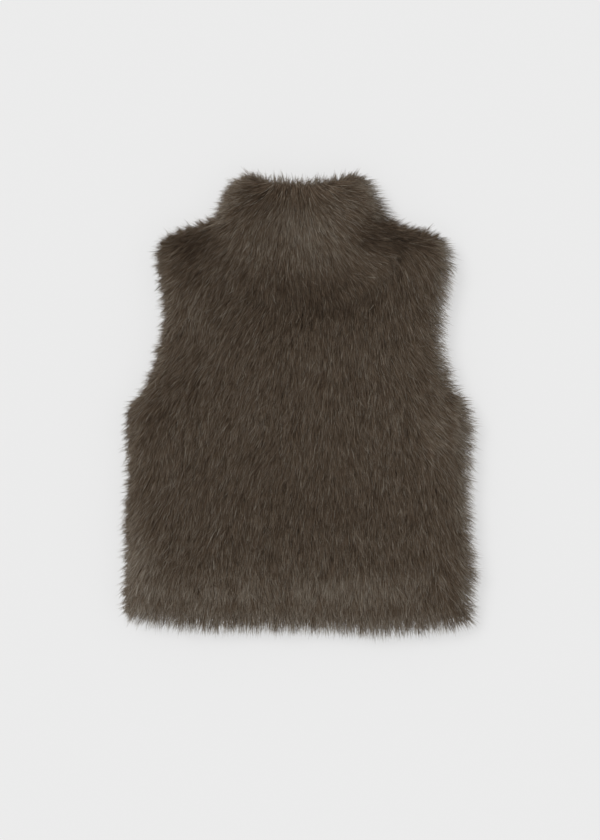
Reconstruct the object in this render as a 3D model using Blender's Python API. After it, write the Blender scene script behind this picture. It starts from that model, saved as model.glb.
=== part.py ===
"""A faux fur vest with a stand collar, laid flat on its front with the back panel up.

Metres, +Z up, +Y from the hem to the collar, +X to the right seen from above.
The origin is the middle of the vest's outline, on the surface that it lies on.

Four pieces of fur fabric make the vest: the back, two fronts that meet at the centre
front, and a stand collar that runs all round the neck. Each one is a wall that is as
thick as its backing and its pile together. The two layers lie on each other at
SPLIT_Z. At the side and shoulder seams both layers round into one soft fold, and at
the armholes and the hem each layer keeps an edge of its own. Near the neck the body's
pile thins to nothing, and the collar's longer hair lies over it.
"""

import math

import bmesh
import bpy
import numpy as np

MM = 0.001

# Heights above the surface, in mm.
SPLIT_Z = 14.0
BACK_TOP_Z = 34.0
COLLAR_TOP_Z = 38.0
SEAM_GAP = 0.3
EDGE_THICKNESS = 3.0
NECK_THICKNESS = 1.6
LEAST_THICKNESS = 1.3

# How far in from an edge the pile reaches its full height, in mm.
FOLD_REACH = 27.0
OPEN_REACH = 20.0
NECK_REACH = 44.0
FRONT_FOLD_REACH = 15.0
FRONT_OPEN_REACH = 11.0
CENTRE_FRONT_REACH = 6.0

# At an open edge the inner face lifts a little, so that the two layers part.
LIP_LIFT = 1.6
LIP_REACH = 9.0

# Broad locks of hair raise and lower the top of the pile, and end in points at the edges.
LOCK_WIDTH = 25.0
LOCK_LENGTH = 46.0
LOCK_HEIGHT = 1.7
TUFT_REACH = 2.6

# The collar: the reach of its side folds and of its rounded top edge, the thickness of
# the wall at a side fold, and the slot between its two layers.
COLLAR_FOLD = 17.0
COLLAR_TOP_ROUND = 17.0
COLLAR_SIDE_WALL = 15.0
COLLAR_SLOT = 0.8
COLLAR_RELIEF = 1.0

# The collar's lower edge lies over the body: how thin it ends, how far in it is full,
# how far it stays from the body's pile, how much of the body it keeps from sight, and
# where past the neckline it drops back.
COLLAR_HEM_THICKNESS = 1.8
COLLAR_HEM_REACH = 14.0
COLLAR_LIFT = 1.0
COLLAR_OVERLAP = 30.0
COLLAR_DROP_START = 7.0
COLLAR_DROP_REACH = 9.0
CENTRE_FRONT_GAP = 0.8

# The back's outline with its pile, in mm: x, y. Each table runs in the order named.
LEFT_SEAM = [  # hem to underarm
    (-199, -248),
    (-202, -222),
    (-201, -180),
    (-202, -130),
    (-198, -78),
    (-200, -30),
    (-197, -4),
]
LEFT_ARMHOLE = [  # underarm to shoulder tip
    (-197, -4),
    (-183, 14),
    (-169, 42),
    (-160, 80),
    (-156, 108),
    (-164, 150),
    (-164, 176),
    (-155, 191),
]
LEFT_SHOULDER = [  # shoulder tip to neck
    (-155, 191),
    (-135, 201),
    (-114, 208),
    (-99, 214),
]
RIGHT_SEAM = [
    (199, -247),
    (197, -220),
    (202, -196),
    (199, -170),
    (195, -110),
    (196, -60),
    (197, -20),
    (192, 1),
]
RIGHT_ARMHOLE = [
    (192, 1),
    (176, 22),
    (167, 54),
    (163, 80),
    (167, 115),
    (173, 150),
    (173, 174),
    (164, 189),
]
RIGHT_SHOULDER = [
    (164, 189),
    (142, 198),
    (122, 205),
    (104, 213),
]
HEM = [  # left to right
    (-199, -248),
    (-176, -252),
    (-138, -257),
    (-92, -259),
    (0, -260),
    (66, -263),
    (104, -264),
    (150, -260),
    (188, -255),
    (199, -247),
]
BACK_NECK = [  # left to right
    (-99, 214),
    (-80, 204),
    (-45, 194),
    (0, 190),
    (47, 194),
    (84, 203),
    (104, 213),
]
FRONT_NECK_LEFT = [  # neck to centre front
    (-99, 214),
    (-84, 190),
    (-58, 165),
    (-28, 153),
    (0, 150),
]
FRONT_NECK_RIGHT = [
    (0, 150),
    (30, 153),
    (62, 165),
    (88, 190),
    (104, 213),
]
CENTRE_FRONT = [(0, -257), (0, 150)]

# The collar's outline from above, in mm.
COLLAR_LEFT = [  # neck to top corner
    (-98, 215.6),
    (-91, 229),
    (-87, 243),
    (-80, 253),
]
COLLAR_RIGHT = [
    (103, 214.8),
    (95, 229),
    (88, 243),
    (83, 253),
]
COLLAR_BACK_TOP = [  # left to right: two soft peaks and a dip between them
    (-80, 253),
    (-68, 260),
    (-53, 264),
    (-40, 260),
    (-28, 256),
    (0, 254),
    (24, 255),
    (40, 260),
    (58, 263),
    (75, 260),
    (83, 253),
]
COLLAR_BACK_HEM = [  # left to right, over the back
    (-98, 215.6),
    (-94.5, 215),
    (-92, 207),
    (-88, 191),
    (-72, 171),
    (-42, 158),
    (-8, 154),
    (28, 158),
    (62, 170),
    (84, 188),
    (94, 205),
    (99, 214),
    (103, 214.8),
]
COLLAR_FRONT_TOP_LEFT = [  # fold to centre front
    (-80, 253),
    (-64, 251),
    (-36, 230),
    (0, 217),
]
COLLAR_FRONT_TOP_RIGHT = [  # centre front to fold
    (0, 217),
    (38, 230),
    (66, 251),
    (83, 253),
]
COLLAR_FRONT_HEM_LEFT = [  # fold to centre front, under the left front
    (-98, 215.6),
    (-94, 214),
    (-95, 204),
    (-97, 189),
    (-84, 161),
    (-60, 139),
    (-29, 127),
    (0, 124),
]
COLLAR_FRONT_HEM_RIGHT = [  # centre front to fold, under the right front
    (0, 124),
    (31, 127),
    (64, 139),
    (88, 161),
    (102, 189),
    (100, 204),
    (99, 213),
    (103, 214.8),
]

# Points between two of an outline's own, and cells of an edge that heights are
# measured from.
CURVE_STEPS = 16
EDGE_CELLS = 40
SHOULDER_CELLS = 12

# Cells of each panel's grid.
SEAM_ROWS = 24
ARMHOLE_ROWS = 26
SHOULDER_COLUMNS = 10
NECK_COLUMNS = 38
FRONT_SEAM_ROWS = 16
FRONT_ARMHOLE_ROWS = 26
FRONT_SHOULDER_COLUMNS = 6
FRONT_NECK_COLUMNS = 18
COLLAR_WALL_ROWS = 10
COLLAR_TOP_ROWS = 4
COLLAR_BACK_COLUMNS = 30
COLLAR_FOLD_COLUMNS = 6
COLLAR_FRONT_COLUMNS = 12

FUR_COLOUR = (0.066, 0.050, 0.037, 1.0)
FUR_ROUGHNESS = 0.85


def curve_at(points, fractions):
    """Points at fractions of the length of a Catmull-Rom curve through the given ones."""
    p = np.array(points, float)
    p = np.vstack([2 * p[0] - p[1], p, 2 * p[-1] - p[-2]])
    fine = []
    for a, b, c, d in zip(p[:-3], p[1:-2], p[2:-1], p[3:]):
        for t in np.linspace(0, 1, CURVE_STEPS, endpoint=False):
            fine.append(
                0.5 * (2 * b + (c - a) * t + (2 * a - 5 * b + 4 * c - d) * t**2
                       + (3 * b - a - 3 * c + d) * t**3)
            )
    fine = np.array(fine + [p[-2]])
    along = np.concatenate([[0], np.cumsum(np.linalg.norm(np.diff(fine, axis=0), axis=1))])
    at = np.asarray(fractions) * along[-1]
    return np.stack([np.interp(at, along, fine[:, k]) for k in range(2)], axis=1)


def smooth_curve(points, cells):
    """cells + 1 points, evenly spread along the same kind of curve."""
    return curve_at(points, np.linspace(0, 1, cells + 1))


def resampled(curve, cells):
    """The same curve with cells + 1 points, evenly spread."""
    along = np.concatenate([[0], np.cumsum(np.linalg.norm(np.diff(curve, axis=0), axis=1))])
    at = np.linspace(0, along[-1], cells + 1)
    return np.stack([np.interp(at, along, curve[:, k]) for k in range(2)], axis=1)


def joined(*curves):
    """Curves that meet end to end, as one."""
    return np.vstack([curves[0]] + [c[1:] for c in curves[1:]])


def coons_patch(left, right, bottom, top, across=None, up=None):
    """A grid of (row, column) points that fills four boundary curves.

    across and up are the fractions at which the columns and rows stand, even if not given.
    """
    s = np.linspace(0, 1, len(bottom)) if across is None else across
    t = np.linspace(0, 1, len(left)) if up is None else up
    s = s[None, :, None]
    t = t[:, None, None]
    sides = (1 - s) * left[:, None] + s * right[:, None]
    ends = (1 - t) * bottom[None] + t * top[None]
    corners = (
        (1 - s) * (1 - t) * bottom[0] + s * (1 - t) * bottom[-1]
        + (1 - s) * t * top[0] + s * t * top[-1]
    )
    return sides + ends - corners


def distance_to(points, curve):
    """How far each grid point is from a curve, in mm."""
    a, b = curve[:-1], curve[1:]
    d = b - a
    to = points[..., None, :] - a
    share = np.clip((to * d).sum(-1) / (d * d).sum(-1), 0, 1)
    return np.linalg.norm(to - share[..., None] * d, axis=-1).min(-1)


def rounded(distance, reach):
    """0 at an edge and exactly 1 past its reach, along a quarter of an ellipse."""
    inward = 1 - np.minimum(distance / reach, 1)
    return np.sqrt(1 - inward**2)


def eased(distance, reach):
    """0 at an edge and exactly 1 past its reach, level at both ends."""
    u = np.minimum(distance / reach, 1)
    return u * u * (3 - 2 * u)


def lock_relief(x, y):
    """The uneven top of the pile, from -1 to 1: staggered locks that lean to the left."""
    lean = 0.28 * (y + 60) + 9 * np.sin(y / 61 + 0.7)
    across = (x - lean) / LOCK_WIDTH
    row = y / LOCK_LENGTH + 0.22 * np.sin(2 * np.pi * across / 2.7)
    locks = np.cos(2 * np.pi * across + 2.1 * np.sin(2 * np.pi * row))
    broad = np.sin(x / 37 + y / 83) * np.cos(y / 49 - x / 120)
    return 0.6 * locks + 0.4 * broad


def tufted(curve, outward, seed, plain=1):
    """A boundary curve with every other point drawn outward, as the points of locks.

    The first and last few, as many as plain says, stay where they are.
    """
    wave = np.random.default_rng(seed).uniform(0.15, 1.1, len(curve))
    wave *= np.where(np.arange(len(curve)) % 2, 1, -0.55)
    wave[:plain] = 0
    wave[-plain:] = 0
    tangent = np.gradient(curve, axis=0)
    tangent /= np.linalg.norm(tangent, axis=1)[:, None]
    normal = np.stack([tangent[:, 1], -tangent[:, 0]], axis=1) * outward
    return curve + TUFT_REACH * wave[:, None] * normal


class PanelEdges:
    """The curves that bound a body panel, and the heights that follow from them."""

    def __init__(self, seams, armholes, shoulders, hem, neck, centre=None):
        self.seams = seams
        self.armholes = armholes
        self.shoulders = shoulders
        self.hem = hem
        self.neck = neck
        self.centre = centre

    def nearest(self, points, curves):
        """How far each grid point is from the nearest of some curves, in mm."""
        return np.min([distance_to(points, c) for c in curves], axis=0)

    def dome(self, points, fold_reach, open_reach, round_centre=True):
        """How full the pile stands, from 0 at an edge to 1 inside it."""
        folds = self.nearest(points, self.seams + self.shoulders)
        opens = self.nearest(points, self.armholes + [self.hem])
        full = rounded(folds, fold_reach) * rounded(opens, open_reach)
        if round_centre and self.centre is not None:
            full = full * rounded(distance_to(points, self.centre), CENTRE_FRONT_REACH)
        return full

    def lip(self, points):
        """How far the inner face lifts from SPLIT_Z beside an open edge."""
        opens = self.nearest(points, self.armholes + [self.hem])
        folds = self.nearest(points, self.seams + self.shoulders)
        return LIP_LIFT * (1 - eased(opens, LIP_REACH)) * eased(folds, LIP_REACH)


def back_edges():
    """The back's edges."""
    return PanelEdges(
        seams=[smooth_curve(c, EDGE_CELLS) for c in (LEFT_SEAM, RIGHT_SEAM)],
        armholes=[smooth_curve(c, EDGE_CELLS) for c in (LEFT_ARMHOLE, RIGHT_ARMHOLE)],
        shoulders=[smooth_curve(c, SHOULDER_CELLS) for c in (LEFT_SHOULDER, RIGHT_SHOULDER)],
        hem=smooth_curve(HEM, 2 * EDGE_CELLS),
        neck=smooth_curve(BACK_NECK, EDGE_CELLS),
    )


def past_neckline(points, neck):
    """How far each point lies past a neckline, in mm: below 0 on the panel itself."""
    above = points[..., 1] > np.interp(points[..., 0], neck[:, 0], neck[:, 1])
    return distance_to(points, neck) * np.where(above, 1, -1)


def back_top(points, edges):
    """The top of the back's pile, in mm. Under the collar it thins to NECK_THICKNESS."""
    low = SPLIT_Z + SEAM_GAP / 2
    inside = np.maximum(-past_neckline(points, edges.neck), 0)
    neck = eased(inside, NECK_REACH)
    shown = eased(np.maximum(inside - COLLAR_OVERLAP, 0), COLLAR_OVERLAP)
    relief = LOCK_HEIGHT * shown * lock_relief(points[..., 0], points[..., 1])
    loft = BACK_TOP_Z - low + relief
    full = edges.dome(points, FOLD_REACH, OPEN_REACH)
    pile = EDGE_THICKNESS + (loft - EDGE_THICKNESS) * full
    return low + NECK_THICKNESS + (pile - NECK_THICKNESS) * neck


def front_bottom(points, edges, round_centre=True):
    """The underside of a front: 0 where it rests, and rising to SPLIT_Z at its edges."""
    high = SPLIT_Z - SEAM_GAP / 2
    inside = np.maximum(-past_neckline(points, edges.neck), 0)
    neck = eased(inside, NECK_REACH)
    full = edges.dome(points, FRONT_FOLD_REACH, FRONT_OPEN_REACH, round_centre)
    rise = (high - EDGE_THICKNESS) * (1 - full)
    return rise + (high - NECK_THICKNESS - rise) * (1 - neck)


def add_solid(name, upper, lower, material):
    """A closed body between two grids of (row, column) points in mm that share an outline."""
    rows, columns = upper.shape[:2]
    mesh = bmesh.new()
    top = [[mesh.verts.new(p * MM) for p in row] for row in upper]
    low = [[mesh.verts.new(p * MM) for p in row] for row in lower]
    for i in range(rows - 1):
        for j in range(columns - 1):
            mesh.faces.new((top[i][j], top[i][j + 1], top[i + 1][j + 1], top[i + 1][j]))
            mesh.faces.new((low[i + 1][j], low[i + 1][j + 1], low[i][j + 1], low[i][j]))
    rim = (
        [(0, j) for j in range(columns - 1)]
        + [(i, columns - 1) for i in range(rows - 1)]
        + [(rows - 1, j) for j in range(columns - 1, 0, -1)]
        + [(i, 0) for i in range(rows - 1, 0, -1)]
    )
    for (i, j), (k, m) in zip(rim, rim[1:] + rim[:1]):
        mesh.faces.new((top[i][j], low[i][j], low[k][m], top[k][m]))
    return finish_object(name, mesh, material)


def finish_object(name, mesh, material):
    """The object made from a bmesh, shaded smooth, with its faces pointing out."""
    bmesh.ops.recalc_face_normals(mesh, faces=mesh.faces)
    data = bpy.data.meshes.new(name)
    mesh.to_mesh(data)
    mesh.free()
    data.shade_smooth()
    data.set_sharp_from_angle(angle=math.radians(60))
    data.materials.append(material)
    made = bpy.data.objects.new(name, data)
    bpy.context.scene.collection.objects.link(made)
    return made


def with_height(points, heights):
    """Grid points with their heights added."""
    return np.concatenate([points, heights[..., None]], axis=-1)


def make_back(material):
    """The back: one panel from side seam to side seam."""
    left = joined(
        tufted(smooth_curve(LEFT_SEAM, SEAM_ROWS), -1, 1),
        tufted(smooth_curve(LEFT_ARMHOLE, ARMHOLE_ROWS), -1, 2),
    )
    right = joined(
        tufted(smooth_curve(RIGHT_SEAM, SEAM_ROWS), 1, 3),
        tufted(smooth_curve(RIGHT_ARMHOLE, ARMHOLE_ROWS), 1, 4),
    )
    columns = 2 * SHOULDER_COLUMNS + NECK_COLUMNS
    bottom = tufted(smooth_curve(HEM, columns), 1, 5)
    top = joined(
        tufted(smooth_curve(LEFT_SHOULDER, SHOULDER_COLUMNS), -1, 6),
        smooth_curve(BACK_NECK, NECK_COLUMNS),
        tufted(smooth_curve(RIGHT_SHOULDER[::-1], SHOULDER_COLUMNS), -1, 7),
    )
    grid = coons_patch(left, right, bottom, top)
    edges = back_edges()
    under = SPLIT_Z + SEAM_GAP / 2 + edges.lip(grid)
    upper = np.maximum(back_top(grid, edges), under + LEAST_THICKNESS)
    return add_solid("back", with_height(grid, upper), with_height(grid, under), material)


def front_edges(seam, armhole, shoulder, neck):
    """The edges of the front that has these ones. Its hem is its half of HEM."""
    side = math.copysign(1, seam[0][0])
    hem = [p for p in HEM if p[0] * side >= 0]
    return PanelEdges(
        seams=[smooth_curve(seam, EDGE_CELLS)],
        armholes=[smooth_curve(armhole, EDGE_CELLS)],
        shoulders=[smooth_curve(shoulder, SHOULDER_CELLS)],
        hem=smooth_curve(hem, EDGE_CELLS),
        neck=smooth_curve(neck, EDGE_CELLS),
        centre=np.array(CENTRE_FRONT, float),
    )


def make_front(name, edges, side, material):
    """Half of the front, from its side seam to the centre front. Side -1 is the left."""
    inner_x = side * CENTRE_FRONT_GAP / 2
    outer = joined(
        resampled(edges.seams[0], FRONT_SEAM_ROWS),
        resampled(edges.armholes[0], FRONT_ARMHOLE_ROWS),
    )
    to_centre = slice(None, None, -side)
    top = joined(
        resampled(edges.shoulders[0], FRONT_SHOULDER_COLUMNS),
        resampled(edges.neck[to_centre], FRONT_NECK_COLUMNS),
    )
    bottom = resampled(edges.hem[to_centre], FRONT_SHOULDER_COLUMNS + FRONT_NECK_COLUMNS)
    top[-1, 0] = inner_x
    bottom[-1, 0] = inner_x
    ends = np.linspace(bottom[-1, 1], top[-1, 1], len(outer))
    centre = np.stack([np.full(len(outer), inner_x), ends], axis=1)
    grid = coons_patch(outer, centre, bottom, top)
    over = SPLIT_Z - SEAM_GAP / 2 - edges.lip(grid)
    under = np.minimum(front_bottom(grid, edges), over - LEAST_THICKNESS)
    return add_solid(name, with_height(grid, over), with_height(grid, under), material)


def collar_steps(length, middle_columns, folds):
    """Fractions across the collar, closer together in its folded ends."""
    turn = np.linspace(0, math.pi / 2, COLLAR_FOLD_COLUMNS + 1)
    fold = COLLAR_FOLD * (1 - np.cos(turn)) / length
    last = 1 - fold[-1] if folds == 2 else 1
    middle = np.linspace(fold[-1], last, middle_columns + 1)[1:]
    steps = np.concatenate([fold, middle])
    return steps if folds == 1 else np.concatenate([steps[:-1], 1 - fold[::-1]])


def collar_rows():
    """Fractions up the collar, closer together where its top edge rounds over."""
    turn = np.linspace(0, math.pi / 2, COLLAR_TOP_ROWS + 1)
    height = max(y for x, y in COLLAR_BACK_TOP) - min(y for x, y in COLLAR_BACK_HEM)
    top = 1 - COLLAR_TOP_ROUND / height * (1 - np.sin(turn))
    return np.concatenate([np.linspace(0, top[0], COLLAR_WALL_ROWS + 1)[:-1], top])


def close_to_fold(columns, left_fold, right_fold):
    """1 at a fold's own column, falling to 0 where the fold ends."""
    from_left = np.arange(columns) if left_fold else np.full(columns, columns)
    from_right = np.arange(columns)[::-1] if right_fold else np.full(columns, columns)
    turn = np.minimum(np.minimum(from_left, from_right) / COLLAR_FOLD_COLUMNS, 1)
    return np.cos(turn * math.pi / 2)


class CollarRun:
    """One flat run of the collar, over the back or under the fronts.

    Its inner grid lies in the slot between the runs, and beside the body's pile where
    the collar overlaps it. Its outer grid is the surface of the collar's own pile.
    """

    def __init__(self, grid, curves, left_fold, right_fold):
        self.outer_plan = grid
        self.hem, self.top, self.sides = curves
        near = close_to_fold(grid.shape[1], left_fold, right_fold)
        inward = np.where(grid[..., 0] < 0, 1, -1)
        self.inner_plan = grid.copy()
        self.inner_plan[..., 0] += inward * COLLAR_SIDE_WALL * near**2
        self.opening = np.sqrt(1 - near**2)
        self.at_fold = near > 1 - 1e-9

    def fullness(self, plan):
        """How far each point is from the side folds, and how full the pile stands there."""
        sides = np.min([distance_to(plan, side) for side in self.sides], axis=0)
        return sides, rounded(sides, COLLAR_FOLD) * rounded(
            distance_to(plan, self.top), COLLAR_TOP_ROUND
        )

    def on_body(self, plan, neck):
        """1 where the run lies on a body panel, 0 where it lies on the other run."""
        past = past_neckline(plan, neck) - COLLAR_DROP_START
        return 1 - eased(np.maximum(past, 0), COLLAR_DROP_REACH)

    def solid_grids(self, inner, outer):
        """The outer and inner grids, which both meet the other run at the folds."""
        inner = np.where(self.at_fold, SPLIT_Z, inner)
        outer = np.where(self.at_fold, SPLIT_Z, outer)
        return with_height(self.outer_plan, outer), with_height(self.inner_plan, inner)


def collar_back_run():
    """The run that lies over the back, its columns from left to right."""
    width = COLLAR_RIGHT[0][0] - COLLAR_LEFT[0][0]
    across = collar_steps(width, COLLAR_BACK_COLUMNS, folds=2)
    up = collar_rows()
    plain = COLLAR_FOLD_COLUMNS + 1
    left = curve_at(COLLAR_LEFT, up)
    right = curve_at(COLLAR_RIGHT, up)
    hem = tufted(curve_at(COLLAR_BACK_HEM, across), 1, 8, plain)
    top = tufted(curve_at(COLLAR_BACK_TOP, across), -1, 9, plain)
    grid = coons_patch(left, right, hem, top, across, up)
    run = CollarRun(grid, (hem, top, [left, right]), True, True)

    edges = back_edges()

    def inner_height(plan):
        slot = SPLIT_Z + COLLAR_SLOT / 2
        over = back_top(plan, edges) + COLLAR_LIFT
        return slot + (over - slot) * run.on_body(plan, edges.neck)

    inner = SPLIT_Z + (inner_height(run.inner_plan) - SPLIT_Z) * run.opening
    sides, full = run.fullness(grid)
    thin = inner_height(grid) + COLLAR_HEM_THICKNESS
    relief = COLLAR_RELIEF * lock_relief(grid[..., 0] * 1.3, grid[..., 1])
    pile = np.maximum(SPLIT_Z + (COLLAR_TOP_Z - SPLIT_Z + relief) * full, thin)
    ends = 1 - eased(sides, COLLAR_FOLD)
    from_hem = eased(distance_to(grid, hem), COLLAR_HEM_REACH)
    outer = thin + (pile - thin) * np.maximum(from_hem, ends)
    return run.solid_grids(inner, outer)


def collar_front_run(side_curve, hem_points, top_points, edges, side):
    """Half of the run that lies under the fronts, its columns from left to right."""
    across = collar_steps(-COLLAR_LEFT[0][0], COLLAR_FRONT_COLUMNS, folds=1)
    if side > 0:
        across = 1 - across[::-1]
    up = collar_rows()
    fold = curve_at(side_curve, up)
    hem = curve_at(hem_points, across)
    top = curve_at(top_points, across)
    centre_x = side * CENTRE_FRONT_GAP / 2
    inner_end = -1 if side < 0 else 0
    hem[inner_end, 0] = centre_x
    top[inner_end, 0] = centre_x
    height = top[inner_end, 1] - hem[inner_end, 1]
    centre = np.stack([np.full(len(up), centre_x), hem[inner_end, 1] + up * height], axis=1)
    left, right = (fold, centre) if side < 0 else (centre, fold)
    grid = coons_patch(left, right, hem, top, across, up)
    run = CollarRun(grid, (hem, top, [fold]), side < 0, side > 0)

    def inner_height(plan):
        slot = SPLIT_Z - COLLAR_SLOT / 2
        under = front_bottom(plan, edges, round_centre=False) - COLLAR_LIFT
        return slot + (under - slot) * run.on_body(plan, edges.neck)

    inner = SPLIT_Z + (inner_height(run.inner_plan) - SPLIT_Z) * run.opening
    full = run.fullness(grid)[1] * rounded(np.abs(grid[..., 0]), CENTRE_FRONT_REACH)
    thin = inner_height(grid) - COLLAR_HEM_THICKNESS
    outer = np.maximum(np.minimum(SPLIT_Z * (1 - full), thin), 0)
    return run.solid_grids(inner, outer)


def make_collar(left_edges, right_edges, material):
    """One strip: from the centre front under the right front, over the back, and round."""
    back = collar_back_run()
    left = collar_front_run(
        COLLAR_LEFT, COLLAR_FRONT_HEM_LEFT, COLLAR_FRONT_TOP_LEFT, left_edges, -1
    )
    right = collar_front_run(
        COLLAR_RIGHT, COLLAR_FRONT_HEM_RIGHT, COLLAR_FRONT_TOP_RIGHT, right_edges, 1
    )
    outer, inner = (
        np.concatenate([r, b[:, ::-1][:, 1:], f[:, 1:]], axis=1)
        for r, b, f in zip(right, back, left)
    )
    return add_solid("collar", outer, inner, material)


def main():
    """Makes the four pieces."""
    for old in list(bpy.data.objects):
        bpy.data.objects.remove(old)
    fur = bpy.data.materials.new("fur")
    fur.use_nodes = True
    shader = fur.node_tree.nodes["Principled BSDF"]
    shader.inputs["Base Color"].default_value = FUR_COLOUR
    shader.inputs["Roughness"].default_value = FUR_ROUGHNESS
    shader.inputs["Metallic"].default_value = 0.0
    left = front_edges(LEFT_SEAM, LEFT_ARMHOLE, LEFT_SHOULDER, FRONT_NECK_LEFT)
    right = front_edges(RIGHT_SEAM, RIGHT_ARMHOLE, RIGHT_SHOULDER, FRONT_NECK_RIGHT)
    make_back(fur)
    make_front("front_left", left, -1, fur)
    make_front("front_right", right, 1, fur)
    make_collar(left, right, fur)


main()
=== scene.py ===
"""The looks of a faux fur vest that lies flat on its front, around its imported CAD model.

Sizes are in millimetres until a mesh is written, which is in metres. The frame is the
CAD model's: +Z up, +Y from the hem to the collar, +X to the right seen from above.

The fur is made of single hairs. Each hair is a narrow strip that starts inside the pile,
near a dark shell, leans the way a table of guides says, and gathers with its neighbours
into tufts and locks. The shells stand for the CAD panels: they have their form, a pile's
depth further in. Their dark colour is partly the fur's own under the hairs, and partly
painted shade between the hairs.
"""

import math
from dataclasses import dataclass

import bpy
import numpy as np
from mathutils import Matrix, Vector
from mathutils.bvhtree import BVHTree

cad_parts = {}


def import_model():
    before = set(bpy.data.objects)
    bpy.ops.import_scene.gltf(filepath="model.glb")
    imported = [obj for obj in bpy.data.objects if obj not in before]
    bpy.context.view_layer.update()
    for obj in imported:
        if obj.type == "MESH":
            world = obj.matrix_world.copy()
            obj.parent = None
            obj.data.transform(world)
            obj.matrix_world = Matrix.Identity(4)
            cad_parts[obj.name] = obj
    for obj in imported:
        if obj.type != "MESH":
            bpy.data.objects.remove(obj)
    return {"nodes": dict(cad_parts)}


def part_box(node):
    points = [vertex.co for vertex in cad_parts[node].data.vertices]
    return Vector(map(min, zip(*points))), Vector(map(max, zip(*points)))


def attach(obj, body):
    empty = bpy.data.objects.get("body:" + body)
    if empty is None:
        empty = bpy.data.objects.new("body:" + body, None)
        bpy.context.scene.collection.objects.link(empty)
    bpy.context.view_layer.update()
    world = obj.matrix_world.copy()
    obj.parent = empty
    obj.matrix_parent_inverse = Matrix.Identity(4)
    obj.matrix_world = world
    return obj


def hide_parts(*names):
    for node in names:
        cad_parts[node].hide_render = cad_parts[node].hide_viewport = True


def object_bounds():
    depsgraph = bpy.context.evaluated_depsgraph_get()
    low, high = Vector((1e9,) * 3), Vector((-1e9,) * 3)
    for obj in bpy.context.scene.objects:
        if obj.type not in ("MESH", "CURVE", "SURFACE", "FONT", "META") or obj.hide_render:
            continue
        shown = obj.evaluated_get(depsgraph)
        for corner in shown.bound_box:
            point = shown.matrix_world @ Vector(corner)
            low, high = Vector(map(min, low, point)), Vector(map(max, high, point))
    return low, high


MM = 0.001

# The photograph: its size in pixels, the real size of a pixel at the vest's middle
# height, and the pixel at which the frame's origin shows.
PHOTO_WIDTH_PX = 600
PHOTO_HEIGHT_PX = 840
MM_PER_PX = 1.15
ORIGIN_PX = (299.5, 402.5)
CAMERA_LENS_MM = 100.0
SENSOR_MM = 36.0
MIDDLE_Z = 17.0

# The plan's grid: its cells, how far it goes past the panels, how many cells it carries a
# surface past its outline, and the steepest slope it keeps.
CELL = 2.0
PLAN_MARGIN = 24.0
OUTSIDE_CELLS = 14
STEEPEST = 2.2
# Rays that find the panels' faces start this many metres over or under the floor. Where
# they find none, the height is this.
RAY_START = 1.0
NO_HEIGHT = -1e9
# How many times a form, its edge's direction and the pile over all are softened.
FORM_ROUNDS = 2
EDGE_ROUNDS = 3
PILE_ROUNDS = 4
# How much a form draws back at each cell past its outline: down on top, up underneath.
TOP_DROP = 1.2
UNDER_DROP = 0.2

# Each shell: the height that stays as it is, and the share of the distance from it that
# the rest keeps.
SHELLS = {
    "back": (14.2, 0.62),
    "front_left": (13.8, 0.86),
    "front_right": (13.8, 0.86),
    "collar": (5.0, 0.70),
}
# How far inside the outline a shell ends, how much further where the edge is soft, and how
# far in from the outline that acts.
SHELL_INSET = 9.0
SHELL_SOFT_INSET = 9.0
SHELL_INSET_REACH = 28.0

# The widest valley that the pile hides, from its middle, and how much higher the collar's
# hair runs out over it.
VALLEY_REACH = 16.0
OVERLAP = 1.4
# How far the pile on the underside hangs towards the floor: 0 all the way, 1 not at all.
DROOP = 0.55
# The least height of any hair, and of the middle line of a hair on the sides.
FLOOR_CLEARANCE = 0.25
RIM_CLEARANCE = 0.5

# How soft an edge is that faces neither right nor down the back, and how fast that grows
# as it turns that way.
SOFT_MIDDLE = 0.5
SOFT_GAIN = 0.7
# Where an edge is soft, the band in which the hair ends is wider by this share and lies so
# much further in, and the hair gathers less by this share: in full up to so far from the
# edge, and not at all from twice that.
SOFTER = 1.5
SOFT_SHORTER = 0.9
LOOSENED = 0.8
LOOSE_FULL = 14.0
# Painted light at the edges: how much paler the hair gets at every edge, and how much more
# at a soft one: from so far inside the outline, and in full a little past it.
EDGE_LIGHT = 0.11
SOFT_EDGE_LIGHT = 0.24
EDGE_LIGHT_FROM = 20.0
EDGE_LIGHT_FULL = -1.0

# Between these heights the side stands at the outline; below and above it draws in. At the
# floor it does so by the undercut, less the share of it that is filled at a soft edge, in
# a curve of this power.
RIM_LOW = 11.0
RIM_HIGH = 20.0
RIM_UNDERCUT = 5.0
RIM_SOFT_FILL = 0.8
UNDERCUT_POWER = 1.4
# The hair on the sides starts between the lowest root and so far over the pile's height
# there, more of it low down. It lies so far under the side's surface, and more at a soft
# edge.
LOWEST_ROOT = 0.8
ROOTS_OVER_RIM = 4.0
ROOTS_CROWD = 1.35
RIM_COVER = 5.5
RIM_SOFT_COVER = 7.0
# It follows the flow along the side by this share of its length, and tufts and single
# hairs turn aside from that. It hangs by the second share, which tufts and single hairs
# change too, in a curve of this power.
RIM_FLOW = 0.8
RIM_TUFT_SWAY = 0.9
RIM_HAIR_SWAY = 0.25
RIM_FALL = 0.2
RIM_TUFT_FALL = 0.5
RIM_HAIR_FALL = 0.15
FALL_POWER = 1.2
# How much its face looks up, its least length and what its tuft and the hair itself add,
# and how many times wider it is near the floor.
RIM_LOOK_UP = 0.15
RIM_LEAST_LENGTH = 0.7
RIM_LONGER = 0.3
RIM_LOW_WIDTH = 1.8

# Hair grows from so far inside a form's edge. Under the collar the back's hair goes so far
# in, and the fringe starts between these distances from the outline and turns outward by
# this share.
ROOT_INSET = 1
UNDER_COLLAR = 5
FRINGE_FROM = 2
FRINGE_TO = 10
FRINGE_OUTWARD = 1.1

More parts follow.
